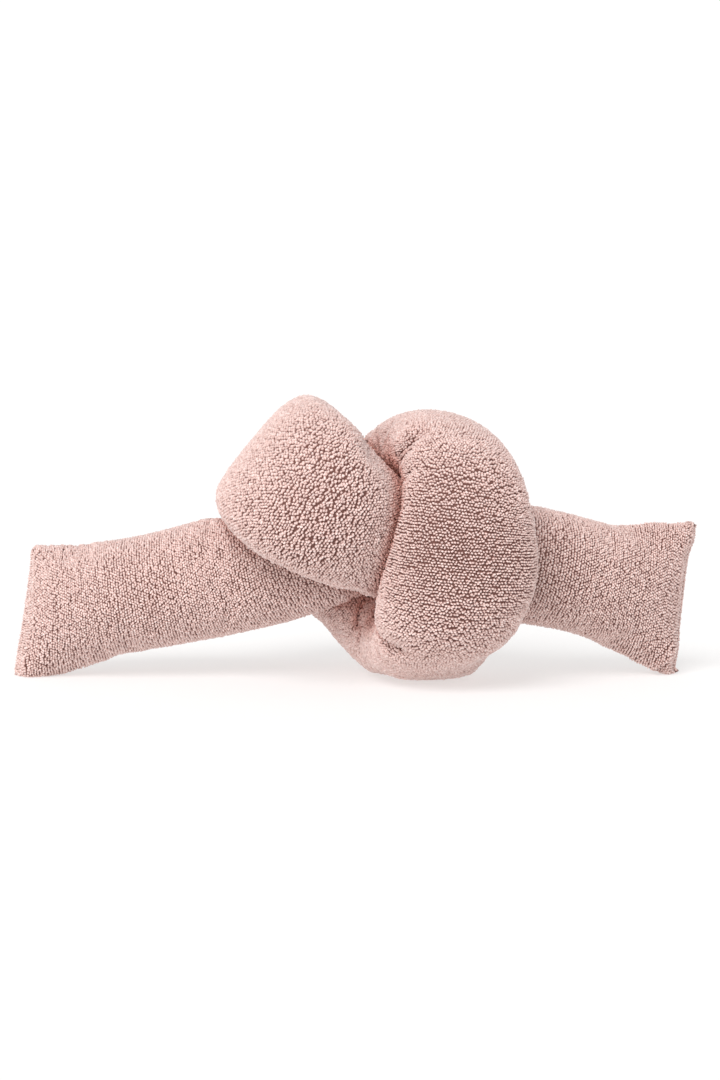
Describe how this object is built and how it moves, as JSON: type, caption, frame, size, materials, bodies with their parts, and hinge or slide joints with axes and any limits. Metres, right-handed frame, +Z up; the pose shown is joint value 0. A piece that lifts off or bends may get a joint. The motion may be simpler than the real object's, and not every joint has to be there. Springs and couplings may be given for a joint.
{
  "type": "knot cushion",
  "caption": "Decorative cushion: a stuffed boucle tube with flat sewn ends, tied in an overhand knot, standing on the knot and its lower end corners.",
  "frame": {"origin": "on the floor, below the middle of the bounding box", "axes": "+X along the cushion to its shorter free end, +Y to its back, +Z up"},
  "size_m": [0.7692, 0.295, 0.3141],
  "materials": {
    "boucle": "soft looped boucle, matt dusty pink"
  },
  "bodies": {
    "root": {"knot_cushion": "boucle"}
  },
  "joints": []
}
